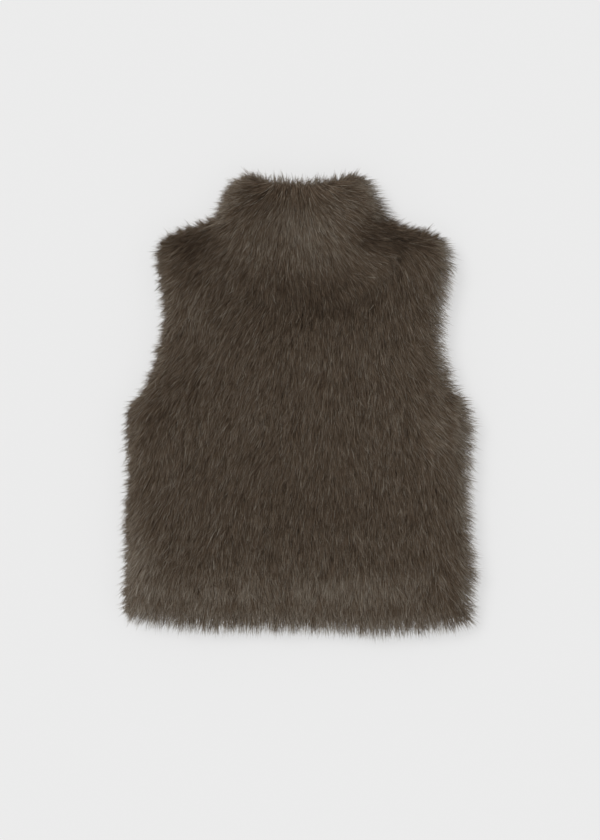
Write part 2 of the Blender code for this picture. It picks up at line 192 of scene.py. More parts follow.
# Which way the hair lies on the back, by place. Degrees from straight down the back,
# positive towards the left side.
BACK_FLOW = [  # x, y, degrees
    (-155, 190, 72),
    (-118, 196, 66),
    (-112, 170, 45),
    (-150, 165, 58),
    (-92, 146, 34),
    (-160, 125, 45),
    (-128, 115, 20),
    (-126, 90, 2),
    (-65, 118, 35),
    (-64, 100, 35),
    (-10, 110, 10),
    (-158, 85, 55),
    (-145, 68, 32),
    (-165, 55, 80),
    (-150, 38, 32),
    (-90, 55, 20),
    (-50, 20, 24),
    (-100, 10, 20),
    (-182, 6, 48),
    (-140, -5, 22),
    (-197, -30, 42),
    (-160, -35, 16),
    (-143, -62, 3),
    (-100, -45, 20),
    (-45, -62, 24),
    (-196, -105, 40),
    (-180, -108, 26),
    (-135, -117, 8),
    (-107, -78, 24),
    (-125, -153, 18),
    (-172, -171, 26),
    (-53, -160, 5),
    (-199, -170, 36),
    (-195, -240, 35),
    (-180, -226, 18),
    (-144, -226, 5),
    (-85, -217, 0),
    (-35, -200, 0),
    (-35, -255, 0),
    (10, 60, 4),
    (10, 0, 6),
    (10, -60, 8),
    (10, -120, 4),
    (10, -200, 0),
    (10, -255, 0),
    (40, 110, 3),
    (75, 120, 0),
    (70, 60, 0),
    (70, 0, 0),
    (77, -52, -8),
    (75, -110, 0),
    (91, -143, 0),
    (70, -200, -2),
    (100, -245, -5),
    (108, 130, -2),
    (110, 80, -4),
    (117, 40, -14),
    (112, -20, -4),
    (106, -67, 0),
    (140, -80, -8),
    (118, -150, -4),
    (145, -208, 0),
    (118, 192, -84),
    (150, 186, -82),
    (108, 177, -44),
    (112, 155, -8),
    (150, 162, -30),
    (168, 168, -60),
    (150, 132, -8),
    (165, 140, -24),
    (148, 108, -32),
    (136, 80, -36),
    (163, 85, -48),
    (152, 48, -44),
    (165, 35, -72),
    (145, 20, -34),
    (165, 5, -50),
    (188, 5, -60),
    (168, -19, -46),
    (188, -30, -50),
    (154, -40, -42),
    (163, -74, -34),
    (192, -75, -34),
    (160, -115, -12),
    (190, -126, -18),
    (172, -153, -14),
    (196, -150, -34),
    (200, -195, -48),
    (187, -213, -38),
    (194, -235, -46),
    (165, -245, -14),
]
BACK_FLOW_REACH = 18.0

# On the collar the hair parts at the top of the back of the neck and runs outward.
COLLAR_FLOW = [  # x, y, degrees
    (-74, 233, 82),
    (-86, 216, 60),
    (-68, 256, 105),
    (-50, 258, 100),
    (-42, 246, 84),
    (-50, 238, 74),
    (-24, 252, 16),
    (-10, 252, 2),
    (8, 252, -14),
    (24, 250, -66),
    (26, 236, -52),
    (52, 256, -92),
    (87, 250, -92),
    (84, 227, -76),
    (52, 230, -72),
    (54, 221, -58),
    (64, 214, -50),
    (0, 216, -4),
    (14, 202, -22),
    (36, 200, -34),
    (58, 181, -46),
    (79, 194, -80),
    (-34, 228, 36),
    (-57, 222, 48),
    (-51, 198, 18),
    (-70, 192, 34),
    (-34, 188, 6),
    (-11, 175, 2),
    (12, 170, -6),
    (36, 162, -16),
]
COLLAR_FLOW_REACH = 9.0

# On the fronts, which face the floor, the hair lies down and out from the middle.
FRONT_FLOW = [  # x, y, degrees
    (-160, 180, 60),
    (-60, 150, 15),
    (-150, 60, 45),
    (-100, 0, 12),
    (-190, -100, 40),
    (-90, -150, 8),
    (-190, -240, 45),
    (0, 0, 0),
    (0, -250, 0),
    (60, 150, -15),
    (160, 180, -60),
    (150, 60, -45),
    (100, 0, -12),
    (190, -100, -40),
    (90, -150, -8),
    (190, -240, -45),
]
FRONT_FLOW_REACH = 30.0

# Painted light and shade, where the fur is lighter or darker than the rest, by place: how
# far the patch reaches across and along, and how much it adds to the tone.
LIGHT_AND_SHADE_PATCHES = [  # x, y, across, along, gain
    (-2, 238, 34, 10, -0.12),
    (12, 186, 58, 30, 0.15),
    (20, 112, 92, 30, -0.16),
    (-145, 180, 34, 30, -0.17),
    (120, 185, 44, 24, -0.25),
    (-128, 96, 14, 22, 0.12),
    (-164, -28, 14, 18, -0.10),
    (168, -35, 24, 32, 0.10),
    (-184, -200, 22, 44, 0.22),
    (-90, -224, 100, 20, 0.17),
    (70, -224, 90, 20, 0.17),
    (-78, -222, 8, 18, -0.14),
    (-20, -222, 10, 18, -0.12),
    (160, -225, 24, 24, -0.01),
    (185, -150, 14, 70, 0.03),
    (0, -130, 100, 40, -0.05),
]

# Where hair reaches further past the outline than elsewhere, or less far: how far the
# place reaches across and along, and how many mm further.
REACH_PATCHES = [  # x, y, across, along, gain
    (-18, 252, 9, 12, 5.0),
    (2, 252, 8, 12, 3.0),
    (18, 252, 9, 12, 4.5),
    (-92, 238, 12, 9, 3.5),
    (156, 190, 26, 12, 2.5),
    (194, -48, 14, 16, 3.2),
    (188, -83, 12, 14, -1.8),
    (156, 74, 12, 16, -1.8),
    (-196, -119, 12, 18, -1.8),
    (-165, -248, 20, 12, -2.0),
    (-174, 18, 14, 14, -2.0),
]

# Along a hair, from root to tip: where its rows are, how wide it is there, and how steeply
# it comes out of the pile.
HAIR_STEPS = np.array([0.0, 0.5, 1.0])
HAIR_TAPER = np.array([0.95, 0.85, 0.0])
RISE_POWER = 1.7
# Where along a hair its tone is given, and the share of it that the middle one has: less
# towards the root, as painted shade in the pile.
TONE_STEPS = [0, 0.6, 1]
MIDDLE_TONE = 0.75
# How far a hair's shading turns across it.
BULGE = 0.6
# A hair's cell on the map of its material: its length to its width, the margin at its ends
# and how far the hair's half width fills it.
MAP_ASPECT = 4.0
MAP_MARGIN = 0.05
MAP_FILL = 0.42
# The narrowest hair's width, as a share of the stated one, and how much more it may have.
NARROWEST = 0.7
WIDER_BY = 0.6

# How much of the stated turn each tuft and lock takes, and the degrees by which each hair
# turns and bends of its own.
TUFT_SWAY = 1.6
LOCK_SWAY = 2.0
HAIR_SWAY = 3.5
HAIR_BEND = 14.0
# A hair's least length, as a share of the stated one, what its tuft and the hair itself
# add, and how much longer a stray hair is.
LEAST_LENGTH = 0.78
TUFT_LENGTH = 0.22
HAIR_LENGTH = 0.28
STRAY_LENGTH = 1.12
# How far ahead along itself a hair looks for its second direction.
LOOK_AHEAD = 0.6
# The least share of the stated pull that tufts and locks have, how much more it may be,
# and the power of the curve by which a hair follows it.
TUFT_LEAST_PULL = 0.6
TUFT_MORE_PULL = 0.8
TUFT_PULL_POWER = 0.8
LOCK_LEAST_PULL = 0.4
LOCK_MORE_PULL = 1.2
LOCK_PULL_POWER = 1.5
# Where along a hair it is tested against the outline. How much of its reach there is its
# own, not its tuft's, and how much more at a soft edge: on top, and on the sides.
PROBES = np.linspace(0.2, 1, 9)
ALONE = 0.5
SOFT_ALONE = 0.45
RIM_ALONE = 0.6
RIM_SOFT_ALONE = 0.35
# How much tufts and locks change the height, how much each hair does of its own, and how
# much higher a stray hair lies.
SHARED_LIFT = 1.2
HAIR_LIFT = 0.45
STRAY_LIFT = 1.0
# A hair's root shows where, this far on, the hair is by this much further from the outline
# than its root, and the root is close to it. There it starts less deep, and with less
# painted shade at the root.
BARE_STEP = 6.0
BARE_RISE = 5.0
BARE_REACH = 9.0
BARE_FROM = 1.6
BARE_LESS_DEEP = 0.85
BARE_TONE = 0.8
# How much the tone differs between tufts, on top and on the sides, and between locks, and
# how much paler a stray hair is.
TUFT_TONE = 0.25
RIM_TUFT_TONE = 0.34
LOCK_TONE = 0.04
STRAY_TONE = 0.16

# The seeds of the repeatable numbers that the hairs of a tuft or of a lock share.
TUFT_PLACE_SEED = 11
LOCK_PLACE_SEED = 23
TUFT_TURN_SEED = 3
LOCK_TURN_SEED = 5
LENGTH_SEED = 7
PULL_SEED = 9
TUFT_LIFT_SEED = 13
LOCK_LIFT_SEED = 17
TUFT_TONE_SEED = 19
LOCK_TONE_SEED = 29
REACH_SEED = 31
RIM_FALL_SEED = 9
RIM_REACH_SEED = 13
WANDER_SEED = 2
# The repeatable numbers: what they are multiplied by, and their range.
HASH_STEP = 7919
HASH_FACTORS = (2654435761, 2246822519, 3266489917)
HASH_RANGE = 2**32
# Tufts and locks are numbered in rows of so many cells, and lie off a square grid by this
# share of its pitch.
CELLS_IN_ROW = 8192
JITTER = 0.84
# Steps that fill a square evenly: 1 over the plastic number, and over its square.
EVEN_STEPS = np.array([0.7548776662466927, 0.5698402909980532])

# The colours of a hair by its tone, and of the dark fur under the hairs by its noise; that
# darkness is partly painted shade between the hairs.
HAIR_COLOURS = [
    (0.0, (0.010, 0.0070, 0.0048, 1)),
    (0.25, (0.057, 0.037, 0.023, 1)),
    (0.5, (0.137, 0.100, 0.070, 1)),
    (0.72, (0.235, 0.203, 0.160, 1)),
    (1.0, (0.46, 0.42, 0.36, 1)),
]
UNDERFUR_AND_SHADE_COLOURS = [
    (0.3, (0.012, 0.0085, 0.006, 1)),
    (0.75, (0.040, 0.030, 0.022, 1)),
]
UNDERFUR_FIBRES = (900, 160, 900)

# The stage: the floor's half size and its drop below the vest, in metres, the grey and the
# glow that together match the photograph's ground, the light all round, and the sun.
FLOOR_HALF_SIZE = 30.0
FLOOR_DROP = 0.0002
FLOOR_GREY = 0.30
FLOOR_GLOW = 0.538
SKY_STRENGTH = 0.55
SUN_STRENGTH = 1.75
SUN_WIDTH_DEGREES = 35
SUN_WAY = (0.6, -0.42, -0.95)


def eased(value):
    """0 below 0, 1 above 1, level at both ends."""
    u = np.clip(value, 0, 1)
    return u * u * (3 - 2 * u)


def unit(vectors):
    """Vectors scaled to a length of 1."""
    return vectors / np.maximum(np.linalg.norm(vectors, axis=-1, keepdims=True), 1e-9)


class Plan:
    """Values on a square grid over the vest's plan, read smoothly at any point."""

    def __init__(self, low, high):
        self.low = np.array(low)
        self.shape = tuple(int(n) + 1 for n in np.ceil((np.array(high) - low) / CELL))
        i, j = np.meshgrid(*(np.arange(n) for n in self.shape), indexing="ij")
        self.points = np.stack([i, j], axis=-1) * CELL + self.low

    def read(self, values, points):
        """Values at any points, blended from the four cells round each.

        Points off the grid get the value at its edge.
        """
        at = (points - self.low) / CELL
        at = np.clip(at, 0, np.array(self.shape) - 1.001)
        cell = at.astype(int)
        u = at - cell
        i, j = cell[..., 0], cell[..., 1]
        ux, uy = u[..., 0], u[..., 1]
        if values.ndim == 3:
            ux, uy = ux[..., None], uy[..., None]
        return (
            values[i, j] * (1 - ux) * (1 - uy) + values[i + 1, j] * ux * (1 - uy)
            + values[i, j + 1] * (1 - ux) * uy + values[i + 1, j + 1] * ux * uy
        )

    def slope(self, values):
        """How fast values rise across and along, at each cell."""
        return np.stack(np.gradient(values, CELL), axis=-1)


def softened(values, rounds):
    """Values averaged with their neighbours a few times."""
    for _ in range(rounds):
        padded = np.pad(values, 1, mode="edge")
        values = (
            4 * values + padded[:-2, 1:-1] + padded[2:, 1:-1]
            + padded[1:-1, :-2] + padded[1:-1, 2:]
        ) / 8
    return values


def spread_outward(values, known, rounds, drop):
    """Values carried past the edge of where they are known, lower by drop at each cell."""
    values = np.where(known, values, 0.0)
    for _ in range(rounds):
        total = np.zeros_like(values)
        count = np.zeros_like(values)
        for axis in (0, 1):
            for step in (-1, 1):
                total += np.roll(np.where(known, values, 0), step, axis)
                count += np.roll(known, step, axis)
        fresh = ~known & (count > 0)
        values = np.where(fresh, total / np.maximum(count, 1) - drop, values)
        known = known | fresh
    return values


def filled_valleys(values, reach):
    """A surface with its narrow valleys filled, up to reach from their middle."""
    n = int(reach / CELL)
    steps = [
        (i, j) for i in range(-n, n + 1) for j in range(-n, n + 1) if i * i + j * j <= n * n
    ]
    padded = np.pad(values, n, mode="edge")
    wide, high = values.shape
    tops = np.max([padded[n + i:n + i + wide, n + j:n + j + high] for i, j in steps], axis=0)
    padded = np.pad(tops, n, mode="edge")
    return np.min([padded[n + i:n + i + wide, n + j:n + j + high] for i, j in steps], axis=0)


def cast_heights(plan, node, side):
    """The height of a node's upper (side 1) or lower (side -1) face over the plan."""
    mesh = node.data
    tree = BVHTree.FromPolygons(
        [v.co for v in mesh.vertices], [p.vertices[:] for p in mesh.polygons]
    )
    heights = np.full(plan.shape, side * NO_HEIGHT)
    low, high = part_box(node.name)
    way = Vector((0, 0, -side))
    flat = plan.points.reshape(-1, 2) * MM
    out = heights.reshape(-1)
    near = (
        (flat[:, 0] > low.x) & (flat[:, 0] < high.x)
        & (flat[:, 1] > low.y) & (flat[:, 1] < high.y)
    )
    for k in np.nonzero(near)[0]:
        hit = tree.ray_cast(Vector((flat[k, 0], flat[k, 1], side * RAY_START)), way)[0]
        if hit is not None:
            out[k] = hit.z / MM
    return out.reshape(plan.shape)


def edge_distance(plan, inside):
    """How far each cell is from the outline, in mm: positive inside it."""
    padded = np.pad(inside, 1)
    core = padded[2:, 1:-1] & padded[:-2, 1:-1] & padded[1:-1, 2:] & padded[1:-1, :-2]
    rim = plan.points[inside & ~core]
    distance = np.empty(plan.shape)
    for i in range(plan.shape[0]):
        to = plan.points[i][:, None] - rim[None]
        distance[i] = np.sqrt((to**2).sum(-1).min(-1))
    return np.where(inside, distance + CELL / 2, -distance + CELL / 2)


def flow_field(plan, guides, reach):
    """Hair direction over the plan, as unit vectors, blended from a table of guides."""
    table = np.array(guides, float)
    angle = np.radians(table[:, 2])
    ways = np.stack([-np.sin(angle), -np.cos(angle)], axis=1)
    away = ((plan.points[..., None, :] - table[:, :2]) ** 2).sum(-1)
    weight = 1 / (away + reach**2) ** 2
    return unit((weight[..., None] * ways).sum(-2))


def patched(plan, patches):
    """The sum of a table of soft patches, over the plan."""
    total = np.zeros(plan.shape)
    for x, y, across, along, gain in patches:
        away = ((plan.points - np.array([x, y])) / np.array([across, along])) ** 2
        total += gain * np.exp(-away.sum(-1))
    return total


class Pelt:
    """One side of some of the panels, top (1) or underside (-1): its form and its edge.

    The edge is soft, 1, where it faces right or down the back, and crisp, 0, elsewhere.
    """

    def __init__(self, plan, nodes, side, drop):
        self.plan = plan
        self.side = side
        height = np.full(plan.shape, NO_HEIGHT)
        for node in nodes:
            height = np.maximum(height, side * cast_heights(plan, node, side))
        self.inside = height > NO_HEIGHT / 10
        self.edge = edge_distance(plan, self.inside)
        self.outward = unit(-plan.slope(softened(self.edge, EDGE_ROUNDS)))
        facing = self.outward[..., 0] - self.outward[..., 1]
        self.soft = eased(SOFT_MIDDLE + SOFT_GAIN * facing)
        self.reach = patched(plan, REACH_PATCHES) - SOFT_SHORTER * self.soft
        height = spread_outward(height, self.inside, OUTSIDE_CELLS, drop)
        self.set_height(side * softened(height, FORM_ROUNDS))

    def set_height(self, height):
        """Takes a new form, and works out the way that the pile stands off it."""
        self.height = height
        slope = np.clip(self.plan.slope(height), -STEEPEST, STEEPEST)
        level = np.ones(self.plan.shape + (1,))
        self.normal = self.side * unit(np.concatenate([-slope, level], axis=-1))

    def surface(self, points, offset):
        """Plan points set on the form, moved off it by an offset, and their normals."""
        z = self.plan.read(self.height, points)
        n = unit(self.plan.read(self.normal, points))
        base = np.concatenate([points, z[..., None]], axis=-1)
        return base + n * offset[..., None], n


class Coat:
    """The forms the fur grows on, the ways it lies on them, and painted light and shade on it.
    """

    def __init__(self, nodes, cad_low, cad_high):
        low = np.array([cad_low.x, cad_low.y]) / MM - PLAN_MARGIN
        high = np.array([cad_high.x, cad_high.y]) / MM + PLAN_MARGIN
        plan = Plan(low, high)
        whole = Pelt(plan, [nodes["back"], nodes["collar"]], 1, TOP_DROP)
        back = Pelt(plan, [nodes["back"]], 1, TOP_DROP)
        collar = Pelt(plan, [nodes["collar"]], 1, TOP_DROP)
        below = [nodes["front_left"], nodes["front_right"], nodes["collar"]]
        under = Pelt(plan, below, -1, UNDER_DROP)
        pile = np.where(whole.inside, filled_valleys(whole.height, VALLEY_REACH), whole.height)
        pile = softened(pile, PILE_ROUNDS)
        back.set_height(pile)
        collar.set_height(pile + OVERLAP * eased(0.5 - collar.edge / VALLEY_REACH))
        under.set_height(DROOP * under.height)

        self.plan = plan
        self.whole = whole
        self.back = back
        self.collar = collar
        self.under = under
        self.pile = pile
        self.back_flow = flow_field(plan, BACK_FLOW, BACK_FLOW_REACH)
        self.collar_flow = flow_field(plan, COLLAR_FLOW, COLLAR_FLOW_REACH)
        self.front_flow = flow_field(plan, FRONT_FLOW, FRONT_FLOW_REACH)
        on_collar = (collar.edge > 0)[..., None]
        self.top_flow = np.where(on_collar, self.collar_flow, self.back_flow)
        # Painted light and shade by place, and painted light at the edges, added to the tone.
        from_full = (whole.edge - EDGE_LIGHT_FULL) / (EDGE_LIGHT_FROM - EDGE_LIGHT_FULL)
        paler = (EDGE_LIGHT + SOFT_EDGE_LIGHT * whole.soft) * (1 - eased(from_full))
        self.tones = patched(plan, LIGHT_AND_SHADE_PATCHES) + paler


def turned(ways, angle):
    """Plan vectors turned by an angle in radians."""
    c, s = np.cos(angle), np.sin(angle)
    return np.stack(
        [ways[..., 0] * c - ways[..., 1] * s, ways[..., 0] * s + ways[..., 1] * c], axis=-1
    )


def scattered(rng, count, plan, allowed):
    """About count points spread evenly over the cells that allowed marks."""
    low = plan.low
    span = (np.array(plan.shape) - 1) * CELL
    share = allowed.mean()
    tries = int(count / max(share, 1e-3))
    k = np.arange(tries)
    start = rng.random(2)
    points = (start + k[:, None] * EVEN_STEPS) % 1 * span + low
    points += rng.uniform(-0.5, 0.5, points.shape)
    return points[plan.read(allowed.astype(float), points) > 0.5]


def hashed(numbers, seed):
    """A repeatable number from 0 to 1 for each whole number."""
    x = (numbers + seed * HASH_STEP) * HASH_FACTORS[0] % HASH_RANGE
    x = (x ^ (x >> 15)) * HASH_FACTORS[1] % HASH_RANGE
    x = (x ^ (x >> 13)) * HASH_FACTORS[2] % HASH_RANGE
    return (x ^ (x >> 16)) / HASH_RANGE


def nearest_centre(points, pitch, seed):
    """The nearest of many jittered grid centres to each point, and a number for it."""
    cell = np.floor(points / pitch).astype(int)
    best = np.full(len(points), np.inf)
    centre = np.zeros_like(points)
    label = np.zeros(len(points), np.int64)
    middle = CELLS_IN_ROW // 2
    for di in (-1, 0, 1):
        for dj in (-1, 0, 1):
            c = cell + (di, dj)
            number = ((c[:, 0] + middle) * CELLS_IN_ROW + c[:, 1] + middle).astype(np.int64)
            jitter = np.stack([hashed(number, seed), hashed(number, seed + 1)], axis=1)
            place = (c + 0.5 + JITTER * (jitter - 0.5)) * pitch
            away = ((place - points) ** 2).sum(1)
            closer = away < best
            best = np.where(closer, away, best)
            centre[closer] = place[closer]
            label[closer] = number[closer]
    return centre, label


def wander(points, seed):
    """A slow, smooth unevenness over the plan, from about -1 to 1, by crossed waves."""
    x, y = points[..., 0] + 31 * seed, points[..., 1] - 17 * seed
    return (
        np.sin(x / 23 + 1.3 * np.sin(y / 31 + seed)) * np.cos(y / 37 + 0.8 * np.sin(x / 29))
        + 0.6 * np.sin(x / 11 - y / 17 + 2.1 * seed)
    ) / 1.6


@dataclass
class Groom:
    """The habits of one stretch of fur. Lengths in mm, turns in degrees.

    The hair on the sides uses only the count, sizes, tuft pitch, roll, overshoot and tone.
    """

    # How many hairs, their length and width, and how deep in the pile they start.
    count: int
    length: float = 23.0
    width: float = 0.55
    depth: float = 8.0
    # How far apart tufts and locks are, and how strongly they draw their hairs together.
    tuft_pitch: float = 1.8
    tuft_pull: float = 0.5
    lock_pitch: float = 8.0
    lock_pull: float = 0.14
    # How much hairs turn from the flow, rise over the pile and roll about themselves.
    turn: float = 7.0
    lift: float = 0.8
    roll: float = 32.0
    stray_share: float = 0.06
    stray_turn: float = 18.0
    # How far inside the outline hair ends, and how far past that it goes: on average, and
    # past the outline at most. A hair that this leaves too short is left out.
    inset: float = 7.2
    overshoot: float = 2.8
    most_overshoot: float = 5.0
    shortest: float = 7.0
    # Its tone, how much single hairs differ in it, and the share of it at the root, which is
    # low as painted shade deep in the pile.
    tone: float = 0.435
    tone_spread: float = 0.19
    root_shade: float = 0.12


BACK_GROOM = Groom(count=200000)
COLLAR_GROOM = Groom(count=42000, length=25.0)
FRONT_GROOM = Groom(count=24000, depth=5.0, lift=0.3, inset=6.0, tone=0.45)
# The fringe's hair is paler, with less dark roots, as painted light at the edges.
FRINGE_GROOM = Groom(
    count=24000, length=15.0, width=0.32, depth=4.0, lock_pitch=6.0, lock_pull=0.3,
    turn=12.0, inset=4.5, overshoot=4.0, most_overshoot=9.0, shortest=5.0, tone=0.5,
    root_shade=0.6,
)
RIM_GROOM = Groom(
    count=34000, length=15.0, width=0.62, depth=5.0, tuft_pitch=2.4, roll=25.0,
    overshoot=2.0, most_overshoot=4.0, tone=0.5, root_shade=0.35,
)
# Each stretch's own seed, and for a front also the side of the middle that it is on.
BACK_SEED = 1
COLLAR_SEED = 2
FRONTS = {"front_left": (-1, 3), "front_right": (1, 4)}
FRINGE_SEED = 5
RIM_SEED = 6


@dataclass
class Lay:
    """How hairs lie over the plan: from the root one way, bending over to another.

    Along the way they are drawn aside, at the tip by to_tuft and to_lock.
    """

    roots: np.ndarray
    first: np.ndarray
    second: np.ndarray
    to_tuft: np.ndarray
    to_lock: np.ndarray

    def points(self, t, length):
        """Plan points along the hairs, at shares t of their length."""
        t = t[..., None]
        way = self.first[:, None] * (t - 0.5 * t**2) + self.second[:, None] * (0.5 * t**2)
        go = way * length[:, None, None]
        go += self.to_tuft[:, None] * t**TUFT_PULL_POWER
        go += self.to_lock[:, None] * t**LOCK_PULL_POWER
        return self.roots[:, None] + go


def overshoots(rng, tuft_no, seed, alone):
    """Mostly small, seldom large numbers, which hairs have alone or share with their tuft."""
    together = -np.log(np.maximum(hashed(tuft_no, seed), 1e-6))
    return alone * rng.exponential(1, len(tuft_no)) + (1 - alone) * together


def rolled(rng, line, up, degrees):
    """The side and face vectors of hairs along lines, each turned a little about itself."""
    along = unit(np.gradient(line, axis=1))
    roll = np.radians(degrees) * rng.standard_normal(len(line))[:, None, None]
    level = unit(np.cross(along, up))
    side = level * np.cos(roll) + np.cross(level, along) * np.sin(roll)
    face = np.cross(side, along)
    return side, face * np.where((face * up).sum(-1, keepdims=True) < 0, -1, 1)


def half_widths(rng, n, width):
    """Half the width of each of n hairs in its rows, some narrower than others."""
    return 0.5 * width * (NARROWEST + WIDER_BY * rng.random(n))[:, None] * HAIR_TAPER


def tone_shares(groom):
    """The share of a hair's tone that each of its rows has, less at the root as painted shade.
    """
    return np.interp(HAIR_STEPS, TONE_STEPS, [groom.root_shade, MIDDLE_TONE, 1.0])


class Roots:
    """Where the hairs of a stretch of fur start, and what they share with others there."""

    def __init__(self, rng, outline, points, g):
        self.points = points
        self.count = len(points)
        self.tuft, self.tuft_no = nearest_centre(points, g.tuft_pitch, TUFT_PLACE_SEED)
        self.lock, self.lock_no = nearest_centre(self.tuft, g.lock_pitch, LOCK_PLACE_SEED)
        self.stray = rng.random(self.count) < g.stray_share
        self.from_edge = outline.plan.read(outline.edge, points)
        self.soft = outline.plan.read(outline.soft, points)


def laid(rng, plan, flow, roots, g):
    """How hairs lie from their roots, and how long they are if nothing cuts them."""
    n, tuft_no = roots.count, roots.tuft_no
    gathered = 1 - LOOSENED * roots.soft * eased(2 - roots.from_edge / LOOSE_FULL)
    sway = np.radians(g.turn) * gathered * (
        TUFT_SWAY * (hashed(tuft_no, TUFT_TURN_SEED) - 0.5)
        + LOCK_SWAY * (hashed(roots.lock_no, LOCK_TURN_SEED) - 0.5)
        + wander(roots.lock, WANDER_SEED)
    )
    sway += np.radians(HAIR_SWAY) * rng.standard_normal(n)
    sway += np.where(roots.stray, np.radians(g.stray_turn) * rng.standard_normal(n), 0)
    of_tuft = TUFT_LENGTH * hashed(tuft_no, LENGTH_SEED)
    length = g.length * (LEAST_LENGTH + of_tuft + HAIR_LENGTH * rng.random(n))
    length *= np.where(roots.stray, STRAY_LENGTH, 1.0)
    first = turned(unit(plan.read(flow, roots.tuft)), sway)
    ahead = roots.tuft + first * (LOOK_AHEAD * length)[:, None]
    bend = np.radians(HAIR_BEND) * (rng.random(n) - 0.5)
    second = turned(unit(plan.read(flow, ahead)), sway + bend)
    pull = g.tuft_pull * (TUFT_LEAST_PULL + TUFT_MORE_PULL * rng.random(n))
    pull = np.where(roots.stray, 0.0, pull) * gathered
    to_tuft = (roots.tuft - roots.points) * pull[:, None]
    pull = g.lock_pull * (LOCK_LEAST_PULL + LOCK_MORE_PULL * hashed(tuft_no, PULL_SEED))
    pull = np.where(roots.stray, 0.0, pull) * gathered
    to_lock = (roots.lock - roots.tuft) * pull[:, None]
    return Lay(roots.points, first, second, to_tuft, to_lock), length


def cut_short(rng, outline, roots, lay, length, g):
    """The length at which hairs end by the outline, and which of them are worth keeping."""
    plan = outline.plan
    along = np.broadcast_to(PROBES, (roots.count, len(PROBES)))
    past = -plan.read(outline.edge, lay.points(along, length))
    alone = ALONE + SOFT_ALONE * roots.soft
    past_inset = g.overshoot * overshoots(rng, roots.tuft_no, REACH_SEED, alone)
    wider = 1 + SOFTER * roots.soft
    allowed = np.minimum((past_inset - g.inset) * wider, g.most_overshoot * wider**0.5)
    allowed += plan.read(outline.reach, roots.points)
    within = past < allowed[:, None]
    length = length * np.where(within.all(1), 1.0, PROBES[np.argmin(within, axis=1)])
    return length, within[:, 0] & (length > g.shortest)


def bareness(outline, roots, first):
    """How much roots show: 1 close to the outline where the hair lies inward."""
    ahead = outline.plan.read(outline.edge, roots.points + BARE_STEP * first)
    close = eased(BARE_FROM - roots.from_edge / BARE_REACH)
    return eased((ahead - roots.from_edge) / BARE_RISE) * close


def lifted(rng, roots, g):
    """How high over the pile each hair's tip lies."""
    of_tuft = SHARED_LIFT * (hashed(roots.tuft_no, TUFT_LIFT_SEED) - 0.5)
    of_lock = SHARED_LIFT * (hashed(roots.lock_no, LOCK_LIFT_SEED) - 0.5)
    own = HAIR_LIFT * rng.standard_normal(roots.count)
    return g.lift * (of_tuft + of_lock) + (own + np.where(roots.stray, STRAY_LIFT, 0.0))


def toned(rng, roots, tip_light_and_shade, bare, g):
    """The tone of hairs in each of their rows, with painted light and shade in it."""
    of_tuft = TUFT_TONE * (hashed(roots.tuft_no, TUFT_TONE_SEED) - 0.5)
    of_lock = LOCK_TONE * (hashed(roots.lock_no, LOCK_TONE_SEED) - 0.5)
    shade = g.tone + tip_light_and_shade + (of_tuft + of_lock)
    own = g.tone_spread * rng.standard_normal(roots.count)
    shade += own + np.where(roots.stray, STRAY_TONE, 0.0)
    # Darker towards the root as painted shade in the pile, less so where the root shows.
    to_tip = tone_shares(g)
    to_tip = to_tip + (BARE_TONE - to_tip) * bare[:, None]
    return np.clip(shade[:, None] * to_tip, 0, 1)


def grow(rng, pelt, outline, flow, points, g, light_and_shade_map):
    """Hairs as arrays: centre line, half width, side and face vectors, and tone.

    The centre line follows the pelt from a depth inside the pile to its surface. Most
    hairs end inside the outline, and a few just past it.
    """
    plan = pelt.plan
    roots = Roots(rng, outline, points, g)
    lay, length = laid(rng, plan, flow, roots, g)
    length, keep = cut_short(rng, outline, roots, lay, length, g)
    bare = bareness(outline, roots, lay.first)

    t = np.broadcast_to(HAIR_STEPS, (roots.count, len(HAIR_STEPS)))
    along = lay.points(t, length)
    high = lifted(rng, roots, g)[:, None]
    depth = g.depth * (1 - BARE_LESS_DEEP * bare)[:, None]
    line, up = pelt.surface(along, high * t - depth * (1 - t) ** RISE_POWER)
    side, face = rolled(rng, line, up, g.roll)
    half = half_widths(rng, roots.count, g.width)
    # Its tone takes painted light and shade from the map at its tip, and painted shade at the
    # root.
    tone = toned(rng, roots, plan.read(light_and_shade_map, along[:, -1]), bare, g)
    return [a[keep] for a in (line, half, side, face, tone)]


def hung(rng, outline, flow, roots, tuft_no, g):
    """The way that hairs on the sides run along them, their length, and how far they hang."""
    n = len(roots)
    outward = outline.plan.read(outline.outward, roots)
    way = outline.plan.read(flow, roots)
    way = way - outward * (way * outward).sum(1, keepdims=True)
    sway = RIM_TUFT_SWAY * (hashed(tuft_no, TUFT_TURN_SEED) - 0.5)
    sway += RIM_HAIR_SWAY * rng.standard_normal(n)
    across = np.stack([-outward[:, 1], outward[:, 0]], axis=1)
    way = RIM_FLOW * way + across * sway[:, None]
    of_tuft = RIM_LONGER * hashed(tuft_no, LENGTH_SEED)
    length = g.length * (RIM_LEAST_LENGTH + of_tuft + RIM_LONGER * rng.random(n))
    of_tuft = RIM_TUFT_FALL * hashed(tuft_no, RIM_FALL_SEED)
    fall = length * (RIM_FALL + of_tuft + RIM_HAIR_FALL * rng.standard_normal(n))
    return way, length, fall


def side_offsets(rng, soft, tuft_no, z, t, g):
    """How far past the outline hairs on the sides are, at heights z and shares t of them."""
    alone = RIM_ALONE + RIM_SOFT_ALONE * soft
    high = overshoots(rng, tuft_no, RIM_REACH_SEED, alone)
    cover = RIM_COVER + RIM_SOFT_COVER * soft
    most = cover + g.most_overshoot * (1 - soft)
    high = np.minimum(g.overshoot * (1 + SOFTER * soft) * high, most)
    undercut = RIM_UNDERCUT * (1 - RIM_SOFT_FILL * soft)[:, None]
    inset = undercut * np.clip(1 - z / RIM_LOW, 0, 1) ** UNDERCUT_POWER
    inset += np.maximum(z - RIM_HIGH, 0) + cover[:, None]
    return high[:, None] * t - inset - g.depth * (1 - t) ** RISE_POWER


